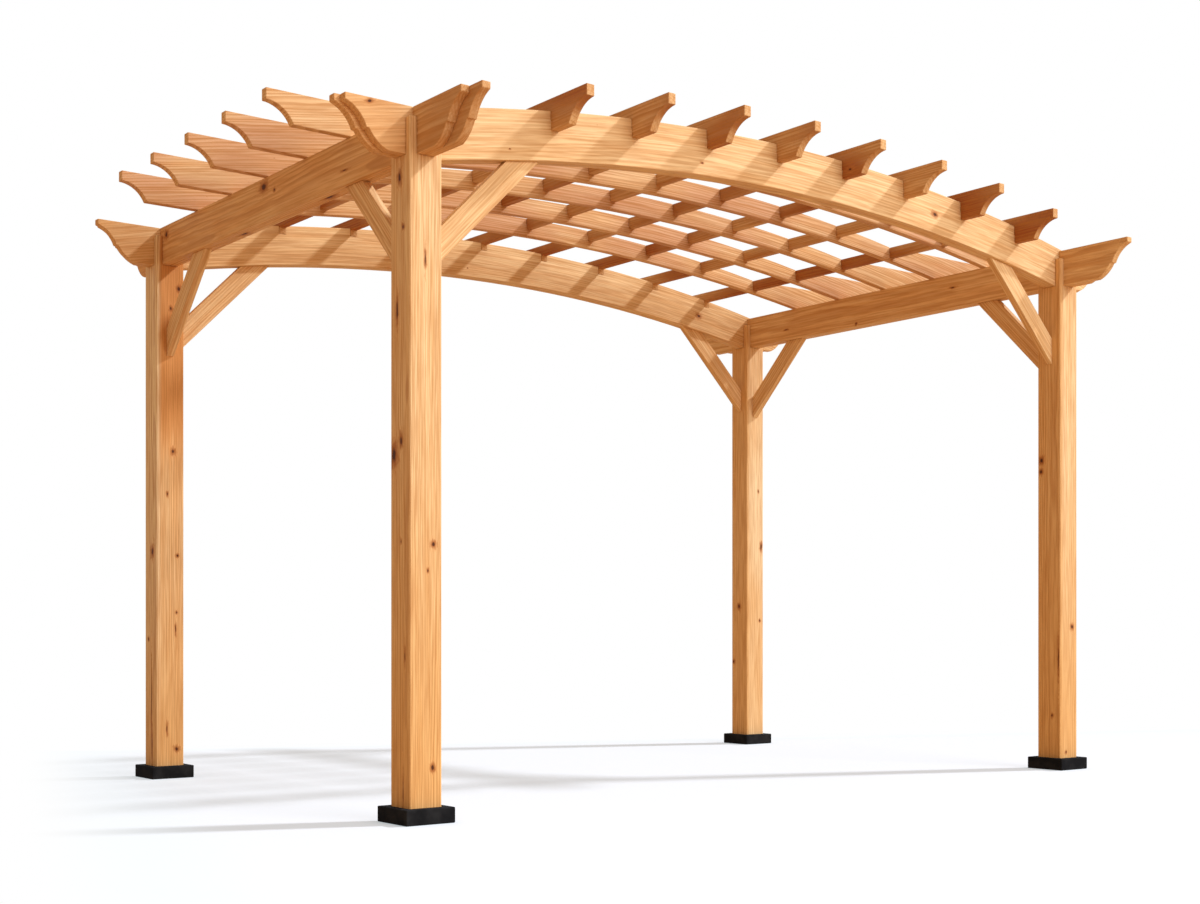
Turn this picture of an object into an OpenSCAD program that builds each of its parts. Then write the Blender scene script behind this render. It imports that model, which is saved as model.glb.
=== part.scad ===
// Arched timber pergola: four posts in shoes carry doubled arches and doubled side beams,
// which lap each other in the slotted post heads. Curved rafters lie across the side beams,
// and purlins lie across the arches and are let into the tops of the rafters.
// Millimetres, +Z up, origin on the ground at the middle of the plan, front at -Y.

/* [Plan] */
// Distance between post centres along the front
span = 3900; // [3400:10:4400]
// Distance between post centres from front to back
depth = 2380; // [2100:10:2800]

/* [Posts] */
// Side of the square posts
post_w = 140; // [130:1:150]
// Height of the seat on which arches and beams rest
seat_z = 2510; // [2300:10:2700]
// Height of the corner prongs above the seat
prong_h = 140; // [120:1:170]

/* [Shoes] */
// Side of the square shoes
shoe_w = 215; // [190:1:240]
// Height of the shoes
shoe_h = 60; // [45:1:80]
// Depth of the socket that holds a post
socket_depth = 15; // [8:1:25]

/* [Boards] */
// Thickness of every board
board_t = 38; // [34:1:42]
// Depth of the side beams and of the arch ends
beam_depth = 184; // [175:1:200]

/* [Arches] */
// Rise of an arch's underside between the posts
arch_rise = 182; // [120:1:220]
// Depth of an arch at its crown
arch_depth = 199; // [192:1:215]
// Reach of an arch's outer board past the post centre
arch_tail_outer = 325; // [310:5:345]
// Reach of an arch's inner board past the post centre
arch_tail_inner = 350; // [345:5:380]

/* [Side beams] */
// Reach of a side beam's outer board past the post centre
beam_tail_outer = 370; // [340:5:390]
// Reach of a side beam's inner board past the post centre
beam_tail_inner = 450; // [410:5:480]

/* [Ogee ends] */
// Length of the shaped end of an arch or a beam
ogee_run = 190; // [180:1:200]
// Height of the end face
ogee_nose = 26; // [20:1:34]
// Height of the ledge between the two curves
ogee_ledge = 70; // [64:1:76]
// Width of the ledge
ledge_w = 10; // [6:1:14]
// Radius of the convex curve at the underside
ovolo_r = 150; // [135:1:180]
// Radius of the hollow curve below the end face
cove_r = 140; // [125:1:170]

/* [Purlins] */
// Number of purlins
purlin_count = 8; // [6:1:9]
// Distance between purlin centres
purlin_pitch = 414; // [380:1:425]
// Distance by which the row of purlins lies right of the middle
purlin_shift = 120; // [0:5:140]
// Depth of a purlin at its ends
purlin_depth = 130; // [120:1:140]
// Depth of a purlin between the arches
purlin_mid_depth = 56; // [50:1:62]
// Height of a purlin above the arch under it
purlin_proud = 48; // [40:1:56]
// Reach of a purlin past the post centre line
purlin_tail = 275; // [255:5:300]

/* [Rafters] */
// Number of rafters between the front and the back arch
rafter_count = 5; // [3:1:5]
// Distance between rafter centres
rafter_pitch = 365; // [340:1:390]
// Depth of a rafter at its ends
rafter_depth = 125; // [118:1:135]
// Rise of a rafter's underside
rafter_rise = 150; // [140:1:156]
// Reach of a rafter past the post centre
rafter_tail = 405; // [380:5:430]

/* [Coved ends] */
// Height of the end face of a purlin or a rafter
tail_nose = 46; // [38:1:56]
// Length of the hollow under the end face
tail_cove_run = 118; // [108:1:126]
// Radius of the hollow
tail_cove_r = 130; // [115:1:170]

/* [Braces] */
// Width of a knee brace
brace_w = 95; // [80:1:110]
// Height at which the lower edge of a brace under an arch meets its post
arch_brace_z = 2105; // [1950:5:2150]
// Height at which the lower edge of a brace under a side beam meets its post
beam_brace_z = 2065; // [1950:5:2150]

/* [Hidden] */
$fn = 96;
ARC_FN = 1440;

timber = [0.80, 0.54, 0.30];
timber_light = [0.86, 0.61, 0.36];
timber_dark = [0.70, 0.45, 0.24];
shoe_black = [0.07, 0.07, 0.08];

half_span = span / 2;
half_depth = depth / 2;
pair_t = 2 * board_t;
beam_top = seat_z + beam_depth;
lap_z = seat_z + beam_depth / 2;
post_foot = shoe_h - socket_depth;

// Arches: two arcs about one centre, springing from the inner faces of the posts
arch_spring = half_span - post_w / 2;
arch_r = (arch_spring * arch_spring + arch_rise * arch_rise) / (2 * arch_rise);
arch_top_r = arch_r + arch_depth;
arch_centre = seat_z + arch_rise - arch_r;

// Shaped ends: the convex curve starts a little beyond the level underside
ogee_start = 8;

// Purlins: each follows the arch's top curve, and they lap by half
purlin_end_drop = purlin_depth - purlin_proud;
purlin_lap = purlin_end_drop / 2;
purlin_relief = purlin_depth - purlin_mid_depth;
purlin_inside = half_depth - board_t;

// Rafters: the underside springs from the side beams, and the top is flush with the purlins
rafter_spring = half_span - board_t;
rafter_r = (rafter_spring * rafter_spring + rafter_rise * rafter_rise) / (2 * rafter_rise);
rafter_centre = beam_top + rafter_rise - rafter_r;
rafter_lap = purlin_mid_depth / 2;

// Braces: height of the cut against the post
brace_cut = brace_w * sqrt(2);

far = 1000;
FRONT_BACK = ["front", "back"];
LEFT_RIGHT = ["left", "right"];
PLIES = ["outer", "inner"];

function side_sign(side) = (side == "front" || side == "left") ? -1 : 1;
function arch_top(x) = arch_centre + sqrt(arch_top_r * arch_top_r - x * x);
function reach_to_arch(z) =
    let (b = z - arch_centre - arch_spring)
    let (c = arch_spring * arch_spring + (z - arch_centre) * (z - arch_centre) - arch_r * arch_r)
    (sqrt(b * b - 2 * c) - b) / 2;
// Centre of the circle of radius r through a and b that lies to the right of the way from a to b
function arc_centre(a, b, r) =
    let (way = b - a)
    (a + b) / 2 + [way.y, -way.x] / norm(way) * sqrt(r * r - way * way / 4);
function purlin_x(i) = (i - (purlin_count + 1) / 2) * purlin_pitch + purlin_shift;
function purlin_top(i) = arch_top(purlin_x(i)) + purlin_proud;
function rafter_y(i) = (i - (rafter_count + 1) / 2) * rafter_pitch;
function corner_name(kind, fb, lr) = str(kind, "_", fb, "_", lr);
function ply_name(kind, side, ply) = str(kind, "_", side, "_", ply);
function row_name(kind, i) = str(kind, "_", i);

CORNER_KINDS = ["shoe", "post", "arch_brace", "beam_brace"];

// Extrudes an XZ outline into a board with its middle at y = 0
module board_xz(thickness = board_t) {
    rotate([90, 0, 0])
        linear_extrude(height = thickness, center = true)
            children();
}

// Extrudes a YZ outline into a board with its middle at x = 0
module board_yz(thickness = board_t) {
    rotate([90, 0, 90])
        linear_extrude(height = thickness, center = true)
            children();
}

// Draws an outline on the right and its mirror image on the left
module both_ends() {
    children();
    mirror([1, 0]) children();
}

// Disc about a point on the middle line
module arc_disc(r, centre_z) {
    translate([0, centre_z])
        circle(r = r, $fn = ARC_FN);
}

// Ogee end from the knee at x = 0 outwards, with its underside at z = 0
module ogee_end(height) {
    ledge_start = [(ogee_run - ledge_w) / 2, ogee_ledge];
    ledge_end = [(ogee_run + ledge_w) / 2, ogee_ledge];
    difference() {
        union() {
            translate([0, ogee_ledge])
                square([ogee_run, height - ogee_ledge]);
            intersection() {
                translate(arc_centre(ledge_start, [ogee_start, 0], ovolo_r))
                    circle(r = ovolo_r);
                square([ogee_run, height]);
            }
        }
        translate(arc_centre(ledge_end, [ogee_run, height - ogee_nose], cove_r))
            circle(r = cove_r);
    }
}

// Level strip from the middle to an ogee end whose tip is at x = tip
module ogee_strip(tip) {
    knee = tip - ogee_run;
    translate([0, seat_z])
        square([knee + ogee_start / 2, beam_depth]);
    translate([knee, seat_z])
        ogee_end(beam_depth);
}

// Level strip from the middle to a coved end whose tip is at x = tip
module coved_strip(tip, underside, height) {
    cove_start = [tip - tail_cove_run, underside];
    cove_end = [tip, underside + height - tail_nose];
    difference() {
        translate([0, underside])
            square([tip, height]);
        translate(arc_centre(cove_start, cove_end, tail_cove_r))
            circle(r = tail_cove_r);
    }
}

// Part of a disc above z = floor_z and between the outer faces of the posts
module crown(r, centre_z, floor_z) {
    reach = half_span + post_w / 2;
    intersection() {
        arc_disc(r, centre_z);
        translate([-reach, floor_z])
            square([2 * reach, far]);
    }
}

module arch_outline(tail) {
    difference() {
        union() {
            both_ends()
                ogee_strip(half_span + tail);
            crown(arch_top_r, arch_centre, lap_z);
        }
        arc_disc(arch_r, arch_centre);
        // Laps over the side beams
        both_ends()
            translate([half_span - board_t, seat_z - far])
                square([pair_t, far + lap_z - seat_z]);
        // Slots for the purlins
        for (i = [1:purlin_count])
            translate([purlin_x(i) - board_t / 2, arch_top(purlin_x(i)) - purlin_lap])
                square([board_t, far]);
    }
}

module beam_outline(tail) {
    difference() {
        both_ends()
            ogee_strip(half_depth + tail);
        // Laps under the arches
        both_ends()
            translate([half_depth - board_t, lap_z])
                square([pair_t, far]);
    }
}

module purlin_outline(top) {
    underside = top - purlin_depth;
    difference() {
        both_ends()
            coved_strip(half_depth + purlin_tail, underside, purlin_depth);
        // Shallow part between the arches
        translate([-purlin_inside, underside - far])
            square([2 * purlin_inside, far + purlin_relief]);
        // Laps over the arches
        both_ends()
            translate([purlin_inside, underside - far])
                square([pair_t, far + purlin_lap]);
        // Laps over the rafters
        for (i = [1:rafter_count])
            translate([rafter_y(i) - board_t / 2, underside - far])
                square([board_t, far + purlin_depth - rafter_lap]);
    }
}

module rafter_outline() {
    difference() {
        union() {
            both_ends()
                coved_strip(half_span + rafter_tail, beam_top, rafter_depth);
            crown(arch_top_r, arch_centre + purlin_proud, beam_top + rafter_depth / 2);
        }
        arc_disc(rafter_r, rafter_centre);
        // Slots for the purlins
        for (i = [1:purlin_count])
            translate([purlin_x(i) - board_t / 2, purlin_top(i) - rafter_lap])
                square([board_t, far]);
    }
}

// Strip at 45 degrees from z = low on the post face at x = face up towards x = 0, with its upper
// end cut straight between the points where its lower and upper edges have run their reach
module brace_outline(face, low, lower_reach, upper_reach) {
    polygon([
        [face, low],
        [face, low + brace_cut],
        [face - upper_reach, low + brace_cut + upper_reach],
        [face - lower_reach, low + lower_reach]
    ]);
}

module shoe(fb, lr) {
    color(shoe_black)
        translate([side_sign(lr) * half_span, side_sign(fb) * half_depth, 0])
            difference() {
                translate([-shoe_w / 2, -shoe_w / 2, 0])
                    cube([shoe_w, shoe_w, shoe_h]);
                translate([-post_w / 2, -post_w / 2, post_foot])
                    cube([post_w, post_w, shoe_h]);
            }
}

module post(fb, lr) {
    color(timber)
        translate([side_sign(lr) * half_span, side_sign(fb) * half_depth, 0])
            difference() {
                translate([-post_w / 2, -post_w / 2, post_foot])
                    cube([post_w, post_w, seat_z + prong_h - post_foot]);
                translate([-post_w, -board_t, seat_z])
                    cube([2 * post_w, pair_t, far]);
                translate([-board_t, -post_w, seat_z])
                    cube([pair_t, 2 * post_w, far]);
            }
}

// Brace in the plane of an arch, cut to meet the arch's underside
module arch_brace(fb, lr) {
    lower_reach = reach_to_arch(arch_brace_z);
    upper_reach = reach_to_arch(arch_brace_z + brace_cut);
    color(timber_light)
        translate([0, side_sign(fb) * half_depth, 0])
            mirror([lr == "left" ? 1 : 0, 0, 0])
                board_xz()
                    brace_outline(arch_spring, arch_brace_z, lower_reach, upper_reach);
}

// Brace in the plane of a side beam, cut level under it
module beam_brace(fb, lr) {
    post_face = half_depth - post_w / 2;
    lower_reach = seat_z - beam_brace_z;
    upper_reach = lower_reach - brace_cut;
    color(timber_light)
        translate([side_sign(lr) * half_span, 0, 0])
            mirror([0, fb == "front" ? 1 : 0, 0])
                board_yz()
                    brace_outline(post_face, beam_brace_z, lower_reach, upper_reach);
}

module arch(side, ply) {
    tail = ply == "outer" ? arch_tail_outer : arch_tail_inner;
    offset_y = half_depth + (ply == "outer" ? board_t : -board_t) / 2;
    color(timber_light)
        translate([0, side_sign(side) * offset_y, 0])
            board_xz()
                arch_outline(tail);
}

module beam(side, ply) {
    tail = ply == "outer" ? beam_tail_outer : beam_tail_inner;
    offset_x = half_span + (ply == "outer" ? board_t : -board_t) / 2;
    color(timber_dark)
        translate([side_sign(side) * offset_x, 0, 0])
            board_yz()
                beam_outline(tail);
}

module purlin(i) {
    color(timber)
        translate([purlin_x(i), 0, 0])
            board_yz()
                purlin_outline(purlin_top(i));
}

module rafter(i) {
    color(timber_light)
        translate([0, rafter_y(i), 0])
            board_xz()
                rafter_outline();
}

for (fb = FRONT_BACK)
    for (lr = LEFT_RIGHT) {
        shoe(fb, lr);
        post(fb, lr);
        arch_brace(fb, lr);
        beam_brace(fb, lr);
    }

for (side = FRONT_BACK)
    for (ply = PLIES)
        arch(side, ply);

for (side = LEFT_RIGHT)
    for (ply = PLIES)
        beam(side, ply);

for (i = [1:purlin_count])
    purlin(i);

for (i = [1:rafter_count])
    rafter(i);
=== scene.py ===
# %% [markdown]
# # An arched timber pergola
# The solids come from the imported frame: posts in black shoes, doubled arches and side beams,
# purlins, curved rafters and knee braces. This script dresses them. Each board gets softened
# edges and its own piece of cedar, and then the floor, the background and the light are set up.

# %% Load the frame
import math

import bmesh
import bpy
from mathutils import Matrix, Vector


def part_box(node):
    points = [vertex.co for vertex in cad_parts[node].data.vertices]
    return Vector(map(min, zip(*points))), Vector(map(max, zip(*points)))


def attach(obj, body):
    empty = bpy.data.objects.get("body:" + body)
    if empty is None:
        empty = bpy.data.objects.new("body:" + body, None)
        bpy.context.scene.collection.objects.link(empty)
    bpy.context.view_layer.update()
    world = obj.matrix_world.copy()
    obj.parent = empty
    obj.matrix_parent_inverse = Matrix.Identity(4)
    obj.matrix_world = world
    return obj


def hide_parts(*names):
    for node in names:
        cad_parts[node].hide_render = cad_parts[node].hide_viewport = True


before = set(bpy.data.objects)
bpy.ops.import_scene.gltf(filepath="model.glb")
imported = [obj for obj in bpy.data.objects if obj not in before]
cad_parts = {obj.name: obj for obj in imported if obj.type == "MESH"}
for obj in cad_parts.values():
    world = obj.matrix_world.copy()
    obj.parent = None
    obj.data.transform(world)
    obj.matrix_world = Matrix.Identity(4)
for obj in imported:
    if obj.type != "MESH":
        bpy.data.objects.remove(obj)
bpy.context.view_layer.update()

# %% [markdown]
# ## Camera
# The picture was taken from about table height, off the front left corner, and all upright edges
# stay upright in it. That is a level camera whose frame is shifted upwards, as with a view camera,
# so the lens is set by its focal length in pixels and the shift by the height of the horizon.

# %% Camera
IMAGE_W, IMAGE_H = 1200, 904
FOCAL_PX = 1645.8
HORIZON_PX = 627.2
SENSOR_MM = 36.0
CAMERA_AT = (-5.203, -6.553, 0.738)
CAMERA_TURN = math.radians(37.61)

scene = bpy.context.scene
scene.view_settings.view_transform = "Standard"
camera = bpy.data.objects.new("camera", bpy.data.cameras.new("camera"))
scene.collection.objects.link(camera)
camera.data.sensor_width = SENSOR_MM
camera.data.lens = FOCAL_PX / IMAGE_W * SENSOR_MM
camera.data.shift_y = (HORIZON_PX - IMAGE_H / 2) / IMAGE_W
camera.location = CAMERA_AT
camera.rotation_euler = (math.pi / 2, 0, -CAMERA_TURN)
scene.camera = camera
print("camera lens", round(camera.data.lens, 2), "mm, shift", round(camera.data.shift_y, 3))

# %% [markdown]
# ## Sums on sockets
# A wood grain is mostly arithmetic: distances, remainders and blends. Wiring that by hand takes
# dozens of Math nodes, so this small class wraps a socket and lets Python's own operators add
# them. Its `add` method makes any other node, and `also` reads a second output of the same node.

# %% Socket arithmetic
MIX_COLOUR_A, MIX_COLOUR_B, MIX_COLOUR_OUT = 6, 7, 2


class Wire:
    """An output socket that can be used in sums, where each sum adds a node."""

    def __init__(self, tree, socket=None):
        self.tree = tree
        self.socket = socket

    def add(self, kind, settings=None, values=None, out=0):
        node = self.tree.nodes.new("ShaderNode" + kind)
        for key, value in (settings or {}).items():
            setattr(node, key, value)
        for key, value in (values or {}).items():
            if isinstance(value, Wire):
                self.tree.links.new(value.socket, node.inputs[key])
            else:
                node.inputs[key].default_value = value
        return Wire(self.tree, node.outputs[out])

    def also(self, out):
        return Wire(self.tree, self.socket.node.outputs[out])

    def math(self, operation, *values):
        return self.add("Math", {"operation": operation}, dict(enumerate(values)))

    def __add__(self, other):
        return self.math("ADD", self, other)

    def __sub__(self, other):
        return self.math("SUBTRACT", self, other)

    def __rsub__(self, other):
        return self.math("SUBTRACT", other, self)

    def __mul__(self, other):
        return self.math("MULTIPLY", self, other)

    def __truediv__(self, other):
        return self.math("DIVIDE", self, other)

    __radd__ = __add__
    __rmul__ = __mul__

    def ramp(self, start, full):
        """A smooth step from 0 at start to 1 at full, which may be the lower of the two."""
        values = {"Value": self, "From Min": start, "From Max": full}
        return self.add("MapRange", {"interpolation_type": "SMOOTHSTEP"}, values)

    def parts(self):
        split = self.add("SeparateXYZ", values={0: self})
        return split, split.also(1), split.also(2)

    def joined(self, x, y, z):
        return self.add("CombineXYZ", values={0: x, 1: y, 2: z})

    def noise(self, vector, scale=1.0, detail=2.0, out="Fac"):
        values = {"Vector": vector, "Scale": scale, "Detail": detail}
        return self.add("TexNoise", values=values, out=out)

    def mix(self, factor, first, second):
        settings = {"data_type": "RGBA", "clamp_factor": True}
        values = {0: factor, MIX_COLOUR_A: first, MIX_COLOUR_B: second}
        return self.add("Mix", settings, values, out=MIX_COLOUR_OUT)

    def into(self, shader, socket):
        self.tree.links.new(self.socket, shader.inputs[socket])


def hypot(a, b):
    """The length of a flat vector whose sides are sockets."""
    square = a * a + b * b
    return square.math("SQRT", square)


def new_material(name):
    """A new material, its shader, and a Wire to start from."""
    material = bpy.data.materials.new(name)
    material.use_nodes = True
    return material, material.node_tree.nodes["Principled BSDF"], Wire(material.node_tree)


# %% [markdown]
# ## The lie of a board
# A board is a slice of a tree, so its grain is cut from a solid that is measured along the board,
# not along the world. A straight board only needs turning and centring. Arches and rafters follow
# a curve, so their points are measured as a height above an arc and a distance along it.

# %% Measure along a board
def straight_lie(wire, centre, along, thick):
    """Width, thickness and length of a straight board, from its own middle."""
    along, thick = Vector(along).normalized(), Vector(thick).normalized()
    turn = Matrix((thick.cross(along), thick, along)).transposed().to_euler()
    spot = wire.add("TexCoord", out="Object")
    values = {"Vector": spot, "Location": centre, "Rotation": turn}
    return wire.add("Mapping", {"vector_type": "TEXTURE"}, values).parts()


def bent_lie(wire, centre, radius):
    """The same for a board that bends round a level axis through its centre of curvature."""
    spot = wire.add("TexCoord", out="Object")
    values = {"Vector": spot, "Location": centre}
    x, y, z = wire.add("Mapping", {"vector_type": "TEXTURE"}, values).parts()
    return hypot(x, z) - radius, y, x.math("ARCTAN2", x, z) * radius


# %% [markdown]
# ## Growth rings
# The rings run about a pith that lies a little off to one side of the board. Where a face cuts
# them steeply they show as straight lines, and on an end they show as arcs, with no seams at the
# corners. The pith sways along its length, which draws the long flames. The rings also drift in
# width and ripple. Each one darkens slowly to late wood and then starts again with a sharp edge.

# %% Rings
# The sway is in metres, drift and ripple are in rings, and scales are per metre
NOISE_MEAN = 0.5
SWAY_M, SWAY_ACROSS, SWAY_ALONG, SWAY_SEED = 0.05, 1.5, 0.55, 5.7
DRIFT_RINGS, DRIFT_ACROSS, DRIFT_ALONG = 5.0, 0.22, 0.4
RIPPLE_RINGS, RIPPLE_SCALE = 1.1, (9.0, 3.2)
LATE_WOOD = (0.2, 0.85)
RING_EDGE = (0.87, 1.0)


def streaks(wire, lie, scale, shift=0.0, slide=0.0, detail=2.0):
    """Noise drawn out along a board. Its scale is across and along the board, per metre."""
    wide, thick, run = lie
    across, along = scale
    spot = wire.joined(wide * across, thick * across + shift, run * along + slide)
    return wire.noise(spot, detail=detail)


def growth_rings(wire, lie, seed, pith, ring_w, swirl):
    """Late wood, from 0 to 1. The swirl of a knot pushes the rings aside."""
    wide, thick, run = lie
    path = wire.joined(seed * SWAY_SEED, wide * SWAY_ACROSS, run * SWAY_ALONG)
    sway_wide, sway_thick, _ = wire.noise(path, detail=1.0, out="Color").parts()
    off_wide = wide + pith[0] + (sway_wide - NOISE_MEAN) * SWAY_M
    off_thick = thick + pith[1] + (sway_thick - NOISE_MEAN) * SWAY_M
    ring = hypot(off_wide, off_thick) / ring_w + swirl
    drift = wire.noise(wire.joined(ring * DRIFT_ACROSS, seed, run * DRIFT_ALONG))
    ring = ring + drift * DRIFT_RINGS
    ring = ring + streaks(wire, lie, RIPPLE_SCALE, shift=seed) * RIPPLE_RINGS
    phase = ring.math("FRACT", ring)
    return phase.ramp(*LATE_WOOD) * (1 - phase.ramp(*RING_EDGE))


# %% [markdown]
# ## Knots and checks
# Knots are the roots of branches: small, dark and red at the rim. The posts and three boards of the
# side beams have theirs listed, because they are looked at closely, and a long thin one stands for
# a drying check. The other boards get theirs by chance, one to each cell of a Voronoi pattern, and
# most cells stay nearly empty. A fine noise frays the outline of every knot.

# %% Knots
KNOT_STEP_WIDE, KNOT_STEP_LONG = 0.16, 0.9
KNOT_SEED_WIDE, KNOT_SEED_LONG = 7.3, 3.1
KNOT_CHANCE = (0.55, 1.0)
KNOT_R, KNOT_LEAST_R = 0.009, 0.0006
KNOT_SQUEEZE = 0.6
FRAY_SCALE, FRAY_LEAST, FRAY_MORE = (90.0, 50.0), 0.4, 1.2
HALO_RADII, RIM_RADII, CORE_RADII = (0.0, 4.0), (0.8, 2.6), (0.45, 1.05)


def placed_knots(wire, knots, along):
    """Distance to the nearest of the listed knots, in knot radii."""
    spot = wire.add("TexCoord", out="Object")
    nearest = None
    for centre, radius, stretch in knots:
        radii = (Vector((1, 1, 1)) + along * (stretch - 1)) * radius
        values = {"Vector": spot, "Location": centre, "Scale": radii}
        local = wire.add("Mapping", {"vector_type": "TEXTURE"}, values)
        away = wire.add("VectorMath", {"operation": "LENGTH"}, {0: local}, out="Value")
        nearest = away.math("MINIMUM", nearest, away) if nearest else away
    return nearest


def chance_knots(wire, lie, seed):
    """Distance to the nearest chance knot, in knot radii."""
    wide, _, run = lie
    across = wide / KNOT_STEP_WIDE + seed * KNOT_SEED_WIDE
    down = run / KNOT_STEP_LONG + seed * KNOT_SEED_LONG
    settings = {"voronoi_dimensions": "2D", "feature": "F1"}
    values = {"Vector": wire.joined(across, down, 0.0), "Scale": 1.0}
    cell = wire.add("TexVoronoi", settings, values, out="Position")
    cell_x, cell_y, _ = cell.parts()
    chance, _, _ = cell.also("Color").parts()
    size = chance.ramp(*KNOT_CHANCE) * KNOT_R + KNOT_LEAST_R
    off_wide = (across - cell_x) * KNOT_STEP_WIDE
    off_long = (down - cell_y) * KNOT_STEP_LONG * KNOT_SQUEEZE
    return hypot(off_wide, off_long) / size


def knot_masks(wire, lie, seed, knots, along):
    """The wood that bends round a knot, the knot's red rim and its dark core."""
    knot = placed_knots(wire, knots, along) if knots else chance_knots(wire, lie, seed)
    knot = knot * (FRAY_LEAST + FRAY_MORE * streaks(wire, lie, FRAY_SCALE))
    return [1 - knot.ramp(*radii) for radii in (HALO_RADII, RIM_RADII, CORE_RADII)]


# %% [markdown]
# ## Cedar colours
# Fresh cedar runs from pale straw to brown red within one tree. Each colour is what the wood shows
# in plain light: the two tones of clear wood first, then the late wood, the tints and the knots.

# %% Cedar colours
PALE = (0.865, 0.645, 0.365, 1)
HONEY = (0.805, 0.52, 0.25, 1)
LATE = (0.47, 0.205, 0.055, 1)
SAP = (0.915, 0.755, 0.485, 1)
AMBER = (0.79, 0.475, 0.185, 1)
HEART = (0.69, 0.335, 0.118, 1)
ROSE = (0.585, 0.305, 0.22, 1)
RUSSET = (0.35, 0.105, 0.035, 1)
KNOT_RIM = (0.36, 0.125, 0.035, 1)
KNOT_CORE = (0.085, 0.03, 0.014, 1)

# %% [markdown]
# ## Cedar
# The colour starts from the pale and the honey tone in long streaks. Clouds of a tint lie over it,
# and a blush is a second colour that comes in towards one end or one side; on a few boards a blush is
# painted shade. Then come the late wood of the rings, fine fibres and the knots. Sawn ends are
# fresher, so they take less tint and are more matt. The same masks roughen the surface and raise the
# fibres.

# %% Cedar
# A scale is across and along the board, and a range is where a mask starts and where it is full
STREAK_SCALE, STREAK_RANGE = (45.0, 1.6), (0.25, 0.75)
CLOUD_SCALE, CLOUD_RANGE, CLOUD_LEAST = (4.0, 1.3), (0.35, 0.65), 0.25
FIBRE_SCALE, FIBRE_DETAIL = (130.0, 5.0), 3.0
FIBRE_LEVEL, FIBRE_RANGE, FIBRE_SHARE = 0.62, (0.0, 0.3), 0.45
RING_LEAST, RING_STREAK = 0.12, 0.64
END_TURN, END_UNTINTED, END_PLAIN = (0.55, 0.9), 0.7, 0.4
SWIRL_RINGS, HALO_SHARE, RIM_SHARE = 0.9, 0.45, 0.85
RAISE_LATE, RAISE_FIBRE, SINK_KNOT = 0.5, 0.7, 0.8
GRAIN_BUMP = {"Strength": 0.3, "Distance": 0.0012}
CEDAR_ROUGH, LATE_SMOOTH, END_ROUGH, CEDAR_SPECULAR = 0.72, 0.12, 0.15, 0.12


def sawn_end(wire, along):
    """1 where a face looks along the board, as a sawn end does."""
    values = {0: wire.add("NewGeometry", out="Normal"), 1: Vector(along).normalized()}
    turn = wire.add("VectorMath", {"operation": "DOT_PRODUCT"}, values, out="Value")
    return turn.math("ABSOLUTE", turn).ramp(*END_TURN)


def cedar(name, lie_of, along, seed, pith, ring_w, tint, share, figure, blush, knots):
    """Cedar for one board: a share of a tint, rings by its figure, and a blush or two, some painted
    shade.
    """
    material, shader, wire = new_material(name)
    lie = lie_of(wire)
    wide, _, run = lie
    halo, rim, core = knot_masks(wire, lie, seed, knots, along)
    late = growth_rings(wire, lie, seed, pith, ring_w, halo * SWIRL_RINGS)
    fibre = streaks(wire, lie, FIBRE_SCALE, detail=FIBRE_DETAIL)
    streak = streaks(wire, lie, STREAK_SCALE, slide=seed)
    cloud = streaks(wire, lie, CLOUD_SCALE, shift=seed)
    end = sawn_end(wire, along)

    colour = wire.mix(streak.ramp(*STREAK_RANGE), PALE, HONEY)
    cloudy = CLOUD_LEAST + (1 - CLOUD_LEAST) * cloud.ramp(*CLOUD_RANGE)
    colour = wire.mix(cloudy * (1 - end * END_UNTINTED) * share, colour, tint)
    # Some blushes are painted shade, such as the shadow at the head of the back left post
    for shade, most, way, start, full in blush:
        measure = run if way == "along" else wide
        colour = wire.mix(measure.ramp(start, full) * most, colour, shade)
    rings = late * (RING_LEAST + RING_STREAK * streak) * (1 - end * END_PLAIN) * figure
    colour = wire.mix(rings, colour, LATE)
    colour = wire.mix((FIBRE_LEVEL - fibre).ramp(*FIBRE_RANGE) * FIBRE_SHARE, colour, LATE)
    colour = wire.mix(halo * HALO_SHARE, colour, HEART)
    colour = wire.mix(rim * RIM_SHARE, colour, KNOT_RIM)
    colour = wire.mix(core, colour, KNOT_CORE)

    relief = late * RAISE_LATE + fibre * RAISE_FIBRE - core * SINK_KNOT
    colour.into(shader, "Base Color")
    (CEDAR_ROUGH - late * LATE_SMOOTH + end * END_ROUGH).into(shader, "Roughness")
    wire.add("Bump", values={**GRAIN_BUMP, "Height": relief}).into(shader, "Normal")
    shader.inputs["Specular IOR Level"].default_value = CEDAR_SPECULAR
    return material


# %% [markdown]
# ## Black shoes
# The shoes are a matt black moulding. Pure black would hide their edges, so the colour is a very
# dark grey with a fine moulded texture and a slight bloom, and the light does the rest.

# %% Shoe finish
SHOE_DARK = (0.011, 0.0125, 0.0155, 1)
SHOE_BLOOM = (0.025, 0.028, 0.033, 1)
BLOOM_SCALE, BLOOM_DETAIL, BLOOM_RANGE = 14.0, 4.0, (0.35, 0.75)
MOULD_SCALE = 900.0
MOULD_BUMP = {"Strength": 0.25, "Distance": 0.0004}
SHOE_ROUGH, BLOOM_ROUGH, SHOE_SPECULAR = 0.6, 0.2, 0.01

shoe_black, shoe_shader, wire = new_material("shoe_black")
spot = wire.add("TexCoord", out="Object")
bloom = wire.noise(spot, BLOOM_SCALE, BLOOM_DETAIL)
mould = wire.noise(spot, MOULD_SCALE)
wire.mix(bloom.ramp(*BLOOM_RANGE), SHOE_DARK, SHOE_BLOOM).into(shoe_shader, "Base Color")
(SHOE_ROUGH + bloom * BLOOM_ROUGH).into(shoe_shader, "Roughness")
wire.add("Bump", values={**MOULD_BUMP, "Height": mould}).into(shoe_shader, "Normal")
shoe_shader.inputs["Specular IOR Level"].default_value = SHOE_SPECULAR
print("made", shoe_black.name)

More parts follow.
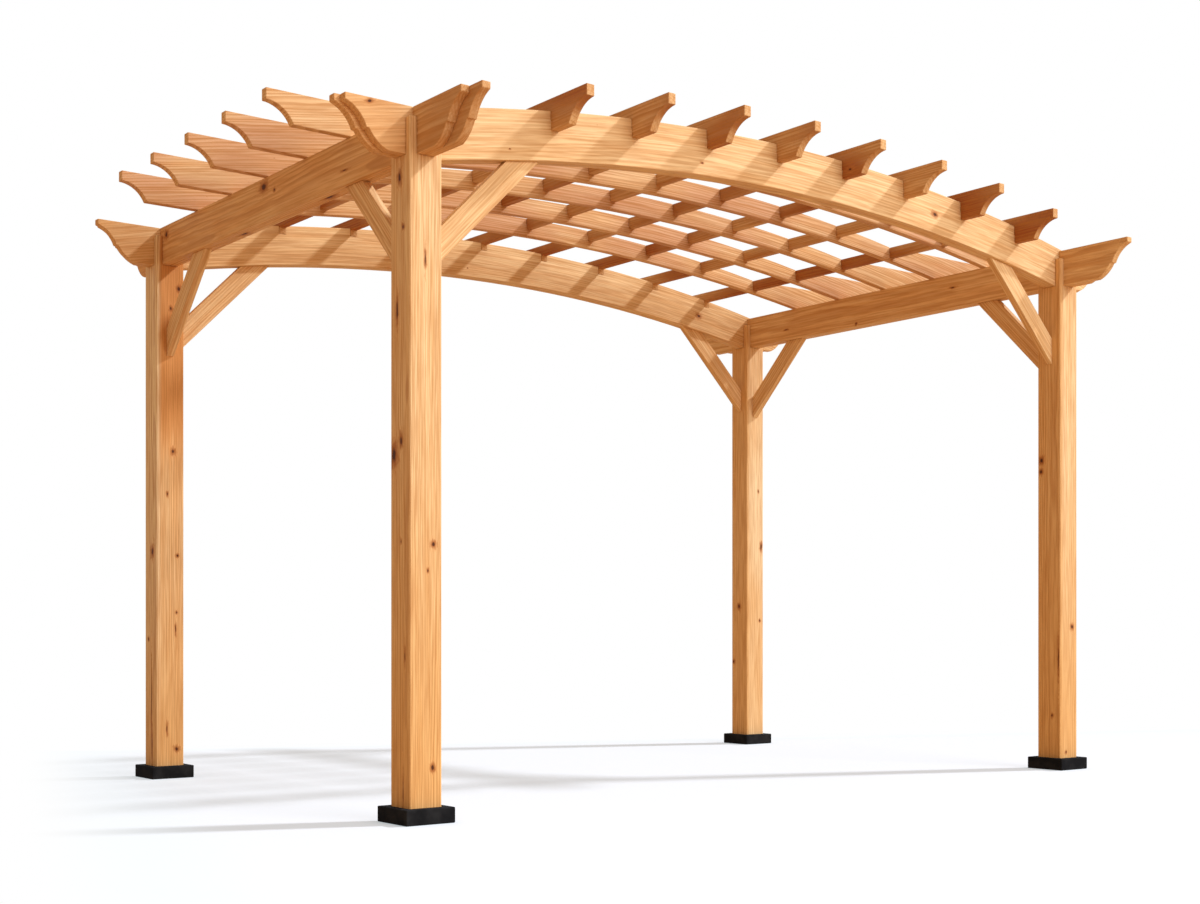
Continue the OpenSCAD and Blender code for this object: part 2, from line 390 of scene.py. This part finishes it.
# %% [markdown]
# ## Softened boards
# Planed timber is sold with its edges eased, and a sharp CAD edge never catches the light. A copy
# of each solid is merged into whole faces, and every corner sharper than a curve's own facets is
# bevelled by a few millimetres. The copy then stands for its node.

# %% Ease the edges
MERGE_M = 1e-5
FLAT_ANGLE = math.radians(0.05)
CORNER_ANGLE = math.radians(28)
SMOOTH_ANGLE = math.radians(20)


def eased(node_name, radius):
    """A copy of a CAD node with eased edges, riding where the node rides."""
    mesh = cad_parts[node_name].data.copy()
    mesh.materials.clear()
    work = bmesh.new()
    work.from_mesh(mesh)
    bmesh.ops.remove_doubles(work, verts=work.verts, dist=MERGE_M)
    bmesh.ops.dissolve_limit(work, angle_limit=FLAT_ANGLE, verts=work.verts, edges=work.edges)
    corners = [e for e in work.edges if e.is_manifold and e.calc_face_angle() > CORNER_ANGLE]
    bmesh.ops.bevel(
        work, geom=corners, offset=radius, offset_type="OFFSET", affect="EDGES", segments=2,
        profile=0.5, clamp_overlap=True, material=-1,
    )
    for face in work.faces:
        face.smooth = True
    work.to_mesh(mesh)
    work.free()
    mesh.set_sharp_from_angle(angle=SMOOTH_ANGLE)
    piece = bpy.data.objects.new(node_name + "_eased", mesh)
    scene.collection.objects.link(piece)
    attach(piece, "root")
    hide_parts(node_name)
    return piece


# %% [markdown]
# ## Which way each board lies
# Posts stand, purlins and side beams run from front to back, and braces lean at 45 degrees. Arches
# and rafters bend, and the radius of each follows from its rise and half its span.

# %% Lie of every kind of board
ARCH_RISE = 0.182
ARCH_DEPTH = 0.199
RAFTER_RISE = 0.150
BEAM_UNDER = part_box("beam_left_outer")[0].z
BEAM_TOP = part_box("beam_left_outer")[1].z
ARCH_HALF = -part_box("post_front_left")[1].x
RAFTER_HALF = -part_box("beam_left_inner")[1].x
X, Y, Z = Vector((1, 0, 0)), Vector((0, 1, 0)), Vector((0, 0, 1))


def bow(half_width, rise):
    """The radius of an arc from half its width and its rise."""
    return (half_width ** 2 + rise ** 2) / (2 * rise)


ARCH_R = bow(ARCH_HALF, ARCH_RISE)
RAFTER_R = bow(RAFTER_HALF, RAFTER_RISE)
print("radius of the arches", round(ARCH_R, 3), "m, of the rafters", round(RAFTER_R, 3), "m")


def board_lie(name, centre):
    """The direction along a board, and the function that measures points in it."""
    if name.startswith("post"):
        return Z, lambda wire: straight_lie(wire, centre, Z, Y)
    if name.startswith(("purlin", "beam_left", "beam_right")):
        return Y, lambda wire: straight_lie(wire, centre, Y, X)
    if name.startswith("arch_brace"):
        lean = Vector((-math.copysign(1, centre.x), 0, 1))
        return lean, lambda wire: straight_lie(wire, centre, lean, Y)
    if name.startswith("beam_brace"):
        lean = Vector((0, -math.copysign(1, centre.y), 1))
        return lean, lambda wire: straight_lie(wire, centre, lean, X)
    if name.startswith("rafter"):
        axis = Vector((0, centre.y, BEAM_TOP + RAFTER_RISE - RAFTER_R))
        return X, lambda wire: bent_lie(wire, axis, RAFTER_R)
    axis = Vector((0, centre.y, BEAM_UNDER + ARCH_RISE - ARCH_R))
    return X, lambda wire: bent_lie(wire, axis, ARCH_R + ARCH_DEPTH / 2)


# %% [markdown]
# ## Listed knots
# Each knot has a face, its distance off the middle of the board, its height and its radius, all in
# metres, and a number that says how far it is drawn out along the grain.

# %% Listed knots
KNOTS = {
    "post_front_left": [
        ("front", 0.033, 1.05, 0.008, 1.2), ("front", 0.008, 0.95, 0.003, 2.0),
        ("front", 0.029, 0.21, 0.007, 1.6), ("front", -0.003, 2.12, 0.003, 9.0),
        ("left", 0.005, 2.43, 0.010, 1.9), ("left", -0.021, 2.24, 0.006, 1.3),
        ("left", 0.022, 1.93, 0.006, 6.0), ("left", 0.047, 1.39, 0.018, 1.7),
        ("left", -0.006, 1.44, 0.008, 2.4), ("left", -0.006, 1.06, 0.003, 2.0),
        ("left", -0.034, 0.63, 0.003, 6.0), ("left", -0.021, 0.12, 0.002, 24.0),
        ("right", 0.020, 0.80, 0.009, 1.3), ("right", -0.030, 1.75, 0.006, 1.3),
        ("back", -0.020, 1.30, 0.010, 1.2), ("back", 0.036, 0.55, 0.004, 8.0),
    ],
    "post_back_left": [
        ("front", 0.045, 2.40, 0.009, 1.3), ("front", 0.002, 2.30, 0.006, 1.6),
        ("front", 0.014, 1.60, 0.008, 1.4), ("front", -0.015, 1.39, 0.004, 2.0),
        ("front", 0.037, 1.09, 0.006, 1.0), ("front", 0.033, 0.81, 0.004, 1.6),
        ("front", 0.028, 0.73, 0.003, 7.0), ("front", -0.017, 0.24, 0.003, 7.0),
        ("front", 0.033, 0.14, 0.009, 1.1), ("left", -0.020, 1.11, 0.013, 1.5),
        ("left", 0.029, 0.68, 0.006, 1.2), ("left", -0.009, 0.38, 0.003, 45.0),
        ("left", -0.015, 0.16, 0.004, 14.0), ("right", 0.010, 1.85, 0.009, 1.3),
        ("right", -0.025, 0.95, 0.006, 1.2), ("back", 0.022, 1.62, 0.011, 1.2),
    ],
    "post_front_right": [
        ("left", 0.048, 1.61, 0.011, 1.2), ("left", 0.050, 1.55, 0.008, 1.3),
        ("front", 0.031, 0.74, 0.010, 1.2), ("left", -0.019, 0.28, 0.005, 1.4),
        ("front", -0.020, 0.09, 0.006, 1.0), ("left", -0.059, 0.57, 0.003, 22.0),
        ("right", -0.015, 1.20, 0.010, 1.2), ("right", 0.030, 0.42, 0.005, 1.6),
        ("back", 0.015, 2.05, 0.008, 1.3), ("back", -0.032, 0.88, 0.006, 1.2),
    ],
    "post_back_right": [
        ("left", 0.003, 0.87, 0.010, 1.4), ("front", 0.040, 0.78, 0.006, 1.2),
        ("left", 0.053, 0.52, 0.008, 1.2), ("front", 0.052, 1.25, 0.007, 2.6),
        ("front", 0.028, 1.60, 0.004, 1.6), ("right", 0.018, 1.48, 0.009, 1.2),
        ("back", -0.024, 1.90, 0.010, 1.3), ("back", 0.030, 0.66, 0.004, 9.0),
    ],
    "beam_left_outer": [
        ("left", 0.020, 2.655, 0.015, 1.6), ("left", -0.082, 2.622, 0.006, 1.2),
        ("left", 1.076, 2.648, 0.014, 1.1), ("left", -0.700, 2.570, 0.003, 6.0),
    ],
    "beam_left_inner": [
        ("left", -0.500, 2.512, 0.014, 2.5), ("left", 0.300, 2.512, 0.013, 2.2),
        ("right", -0.220, 2.610, 0.008, 1.3), ("right", 0.740, 2.560, 0.006, 1.5),
    ],
    "beam_right_inner": [
        ("left", 0.210, 2.527, 0.006, 1.0), ("left", -0.520, 2.620, 0.004, 3.0),
        ("left", 0.800, 2.575, 0.003, 5.0),
    ],
}
FACE_NORMAL = {"front": -Y, "back": Y, "left": -X, "right": X}


def knots_of(name, low, high):
    """The listed knots of a board as places in space, or None where it has no list."""
    middle, half = (low + high) / 2, (high.x - low.x) / 2
    places = []
    for face, across, height, radius, stretch in KNOTS.get(name, []):
        normal = FACE_NORMAL[face]
        sideways = X if abs(normal.y) > 0 else Y
        centre = Vector((middle.x, middle.y, height)) + normal * half + sideways * across
        places.append((centre, radius, stretch))
    return places or None


print("listed", sum(len(listed) for listed in KNOTS.values()), "knots on", len(KNOTS), "boards")

# %% [markdown]
# ## Tints and blushes
# No two boards come from the same part of a tree. The arches and most posts lean to pale sap wood,
# and the purlins and rafters are red, with bold rings; the back right post is paler, partly as
# painted light. A blush changes the colour within a board: the posts turn amber towards the foot, the
# arches and the left beam are redder at one end, and the back left post is paler on its left side.
# Some blushes
# are painted shade: a painted shadow darkens the head of the back left post, and amber deepens the
# shaded left side of the two right posts. One function and two tables give every board its colour.

# %% Tints and blushes
# Each tint has its share, and then the strength of the rings
TINT = {
    "post_front_left": (SAP, 0.25, 1.0), "post_front_right": (SAP, 0.45, 1.0),
    # The back right post is paler with faint rings, partly its own wood and partly painted light
    # against the roof's shade
    "post_back_left": (HEART, 0.1, 1.1), "post_back_right": (SAP, 1.0, 0.4),
    "arch": (SAP, 0.25, 0.7), "beam_brace": (SAP, 0.3, 0.9), "beam_right": (HONEY, 0.5, 0.9),
    "beam_left": (HEART, 0.5, 1.1), "purlin": (RUSSET, 1.0, 1.3), "rafter": (ROSE, 0.6, 1.4),
}

# Where a blush starts and where it is full, in metres from the middle of the board
FOOT = ("along", 0.3, -1.4)
SHORT_FOOT = ("along", -0.2, -1.4)
# The head of the back left post is painted shadow, darker heart red for the shade of the roof and
# left beam
PAINTED_SHADOW_HEAD = ("along", 0.1, 0.45)
LEFT_SIDE = ("across", -0.040, -0.066)
FRONT_TAIL = ("along", -1.15, -1.4)
LEFT_TAIL = ("along", -1.9, -2.1)
BLUSH = {
    "post_front_left": [(AMBER, 0.85, *FOOT)],
    # On the two right posts the amber left side is painted shade, the deeper colour of their shaded
    # side
    "post_front_right": [(AMBER, 0.6, *LEFT_SIDE), (AMBER, 0.8, *FOOT)],
    "post_back_right": [(AMBER, 0.6, *LEFT_SIDE), (AMBER, 0.45, *FOOT)],
    # The back left post: heart red at the head as painted shadow, a paler left side, and amber
    # towards the foot
    "post_back_left": [
        (HEART, 0.95, *PAINTED_SHADOW_HEAD), (SAP, 1.0, *LEFT_SIDE), (AMBER, 0.7, *SHORT_FOOT),
    ],
    "beam_left": [(RUSSET, 0.3, *FRONT_TAIL)],
    "arch_front": [(HEART, 0.5, *LEFT_TAIL)],
    "arch_back": [(HEART, 0.35, *LEFT_TAIL)],
}


def entry(table, name, otherwise=None):
    """The first entry of a table whose key starts a board's name."""
    return next((table[key] for key in table if name.startswith(key)), otherwise)


print(len(TINT), "tints and", len(BLUSH), "sets of blushes")

# %% [markdown]
# ## Dress every node
# The seed and the place of the pith change from board to board, as they would in a stack of
# timber. The pith of a post lies beyond one side of it, so two faces show straight grain, and that
# of a side beam lies behind its broad face, which draws wide flames. The posts have slightly rounder
# edges than the boards, which catch a thin line of light.

# %% Dress the nodes
BOARD_EASE, POST_EASE, SHOE_EASE = 0.003, 0.005, 0.004
BOARD_RING, POST_RING = 0.013, 0.010
SEED_STEP = 1.37
SINE_STEP, COSINE_STEP = 78.233, 41.7

# How far the pith lies off the middle, across and then through the board, each with its swing
PITH = {
    "post": (0.15, 0.02, 0.035, -0.015),
    "beam_left": (0.03, 0.03, 0.14, 0.0), "beam_right": (0.03, 0.03, 0.14, 0.0),
}
OTHER_PITH = (0.16, 0.07, 0.05, 0.03)


def pith_of(name, number):
    """The place of a board's pith, which swings with the board's number."""
    sine, cosine = math.sin(number * SINE_STEP), math.cos(number * COSINE_STEP)
    across, across_swing, through, through_swing = entry(PITH, name, OTHER_PITH)
    swing = sine if name.startswith("post") else cosine
    return across + across_swing * sine, through + through_swing * swing


pieces = []
for number, name in enumerate(sorted(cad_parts), start=1):
    low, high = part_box(name)
    if name.startswith("shoe"):
        piece = eased(name, SHOE_EASE)
        piece.data.materials.append(shoe_black)
    else:
        is_post = name.startswith("post")
        piece = eased(name, POST_EASE if is_post else BOARD_EASE)
        along, lie_of = board_lie(name, (low + high) / 2)
        ring_w = POST_RING if is_post else BOARD_RING
        wood = cedar(
            "cedar_" + name, lie_of, along, number * SEED_STEP, pith_of(name, number), ring_w,
            *entry(TINT, name), entry(BLUSH, name, []), knots_of(name, low, high),
        )
        piece.data.materials.append(wood)
    pieces.append(piece)
print("dressed", len(pieces), "pieces,", sum(len(p.data.polygons) for p in pieces), "faces")

# %% [markdown]
# ## Floor
# The floor is one large square that runs out of sight. It lies half a millimetre under the shoes,
# because two faces in the same plane would flicker.

# %% Floor
FLOOR_SIZE = 120.0
FLOOR_GAP = Vector((0, 0, -0.0005))

floor_mesh = bpy.data.meshes.new("floor")
work = bmesh.new()
bmesh.ops.create_grid(work, x_segments=1, y_segments=1, size=FLOOR_SIZE / 2)
bmesh.ops.translate(work, verts=work.verts, vec=FLOOR_GAP)
work.to_mesh(floor_mesh)
work.free()
floor = bpy.data.objects.new("floor", floor_mesh)
scene.collection.objects.link(floor)
print("floor", FLOOR_SIZE, "m wide")

# %% [markdown]
# ## White floor
# A lit white floor would need so much light that the cedar bleaches. A camera ray therefore sees the
# floor partly as a cool white that shines by itself, so that only a soft grey shadow is left, and the
# shadow fades out at the left, behind and far away. Every other ray sees a duller, warmer floor, so
# that the shaded faces keep their depth of colour.

# %% Floor finish
FLOOR_SEEN = (0.81, 0.86, 0.97, 1)
FLOOR_BOUNCE = (0.50, 0.32, 0.17, 1)
FLOOR_ROUGH = 0.9
SKY_WHITE = (1, 1, 1, 1)
COOL_WHITE = (0.86, 1.0, 1.09, 1)
WHITE_SHARE = 0.40
FADE_WAY, FADE_RANGE = Vector((-0.949, 0.315)), (2.1, 2.9)
REAR_WAY, REAR_RANGE = Vector((0.373, 0.928)), (1.95, 2.4)
AFAR_RANGE = (4.5, 8.0)


def seen_directly(wire):
    """1 for a ray that ends in the picture, also by way of a mirror or glass."""
    path = wire.add("LightPath", out="Is Camera Ray")
    rays = path + path.also("Is Glossy Ray") + path.also("Is Transmission Ray")
    return rays.math("MINIMUM", rays, 1.0)


floor_paint, floor_shader, wire = new_material("floor_white")
floor_shader.inputs["Roughness"].default_value = FLOOR_ROUGH
floor_shader.inputs["Specular IOR Level"].default_value = 0.0
seen = seen_directly(wire)
wire.mix(seen, FLOOR_BOUNCE, FLOOR_SEEN).into(floor_shader, "Base Color")
spot_x, spot_y, _ = wire.add("TexCoord", out="Object").parts()
aside = (spot_x * FADE_WAY.x + spot_y * FADE_WAY.y).ramp(*FADE_RANGE)
behind = (spot_x * REAR_WAY.x + spot_y * REAR_WAY.y).ramp(*REAR_RANGE)
afar = hypot(spot_x, spot_y).ramp(*AFAR_RANGE)
fade = aside.math("MAXIMUM", aside, behind.math("MAXIMUM", behind, afar))
share = seen * (WHITE_SHARE + (1 - WHITE_SHARE) * fade)
shine = wire.mix(fade, COOL_WHITE, SKY_WHITE)
white = wire.add("Emission", values={"Color": shine, "Strength": 1.0})
lit = Wire(floor_paint.node_tree, floor_shader.outputs[0])
surface = wire.add("MixShader", values={0: share, 1: lit, 2: white})
surface.into(floor_paint.node_tree.nodes["Material Output"], "Surface")
floor_mesh.materials.append(floor_paint)
print("made", floor_paint.name)

# %% [markdown]
# ## Background
# The world is plain white to the camera. As a light it is a dimmer, warm sky, which fills the shaded
# faces without bleaching them.

# %% World
SKY_WARM = (1.0, 0.69, 0.45, 1)
SKY_STRENGTH = 0.55

world = bpy.data.worlds.new("studio")
scene.world = world
world.use_nodes = True
wire = Wire(world.node_tree)
backdrop = world.node_tree.nodes["Background"]
seen = seen_directly(wire)
wire.mix(seen, SKY_WARM, SKY_WHITE).into(backdrop, "Color")
(SKY_STRENGTH + seen * (1 - SKY_STRENGTH)).into(backdrop, "Strength")
print("world", world.name, "with a sky of strength", SKY_STRENGTH)

# %% [markdown]
# ## Light
# A sun from the right draws the shadows to the left and leaves the left faces in shade. A wide
# soft box, far off in front, lifts all the front faces by the same amount, so that the cedar shows
# about as it is written.

# %% Light
SUN_TRAVEL = Vector((-0.92, 0.37, -0.90))
SUN_STRENGTH = 3.05
SUN_ANGLE = math.radians(4.5)
BOX_AT = Vector((4.0, -26.0, 9.0))
BOX_AIM = Vector((0, 0, 1.5))
BOX_SIZE = 16.0
BOX_POWER = 3650.0

sun = bpy.data.objects.new("sun", bpy.data.lights.new("sun", "SUN"))
sun.data.energy = SUN_STRENGTH
sun.data.angle = SUN_ANGLE
sun.rotation_euler = SUN_TRAVEL.to_track_quat("-Z", "Y").to_euler()
scene.collection.objects.link(sun)

soft_box = bpy.data.objects.new("soft_box", bpy.data.lights.new("soft_box", "AREA"))
soft_box.data.energy = BOX_POWER
soft_box.data.size = BOX_SIZE
soft_box.location = BOX_AT
soft_box.rotation_euler = (BOX_AIM - BOX_AT).to_track_quat("-Z", "Y").to_euler()
scene.collection.objects.link(soft_box)
print("lights", sun.data.energy, soft_box.data.energy)
